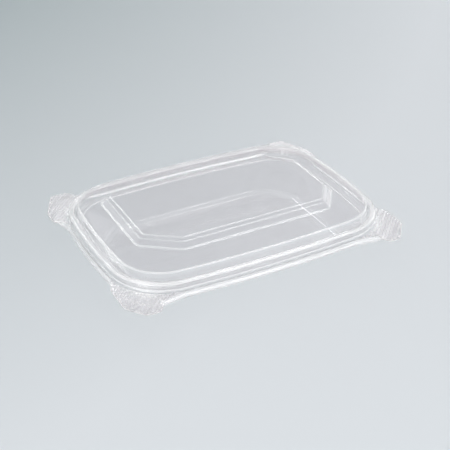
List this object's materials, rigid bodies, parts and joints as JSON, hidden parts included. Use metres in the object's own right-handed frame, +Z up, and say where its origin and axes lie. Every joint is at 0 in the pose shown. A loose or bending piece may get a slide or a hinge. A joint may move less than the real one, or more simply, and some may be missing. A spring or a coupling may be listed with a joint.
{
  "type": "side dish container",
  "caption": "Clear rectangular food container: a shallow tray with sloping walls and rounded rim, and a press-on lid with a raised panel and corner tabs for lifting it off.",
  "frame": {"origin": "centre of the tray's base, on the surface it stands on", "axes": "+X along the long sides to the right, +Y along the short sides to the back, +Z up out of the tray"},
  "size_m": [0.189, 0.1454, 0.0345],
  "materials": {
    "clear_tray": "clear thermoformed sheet",
    "clear_lid": "clear thermoformed sheet"
  },
  "bodies": {
    "tray": {"tray": "clear_tray"},
    "lid": {"lid": "clear_lid"}
  },
  "joints": [
    {"name": "lid_lift", "type": "slide", "parent": "tray", "child": "lid", "axis": [0, 0, 1], "range_m": [0, 0.05]}
  ]
}
